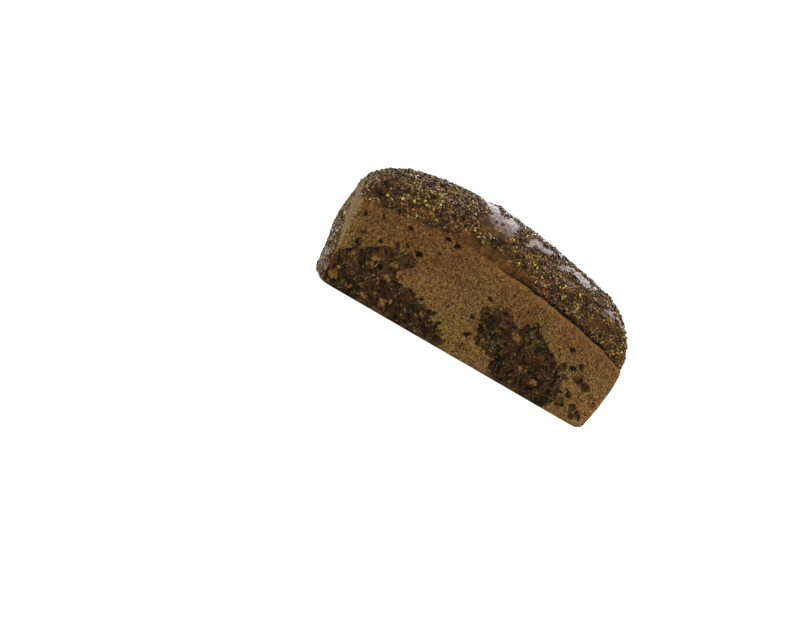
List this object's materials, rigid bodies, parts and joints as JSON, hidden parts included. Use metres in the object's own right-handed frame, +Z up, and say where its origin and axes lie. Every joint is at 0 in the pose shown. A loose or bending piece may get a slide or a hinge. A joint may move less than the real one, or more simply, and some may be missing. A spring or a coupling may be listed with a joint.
{
  "type": "rye bread loaf",
  "caption": "Whole tin-baked rye loaf with straight sides, a domed crust parted from the wall by a furrow, and seeds baked on the top and in patches on the sides.",
  "frame": {"origin": "middle of the loaf's footprint, on the surface that it stands on", "axes": "+X along the loaf towards the end where the furrow is widest open, -Y towards the front wall, +Z up"},
  "size_m": [0.2453, 0.1018, 0.1156],
  "materials": {
    "crust": "matt baked rye crust, fine-pored and tan on the walls, darker with a soft sheen on the dome"
  },
  "bodies": {
    "root": {"loaf": "crust"}
  },
  "joints": []
}
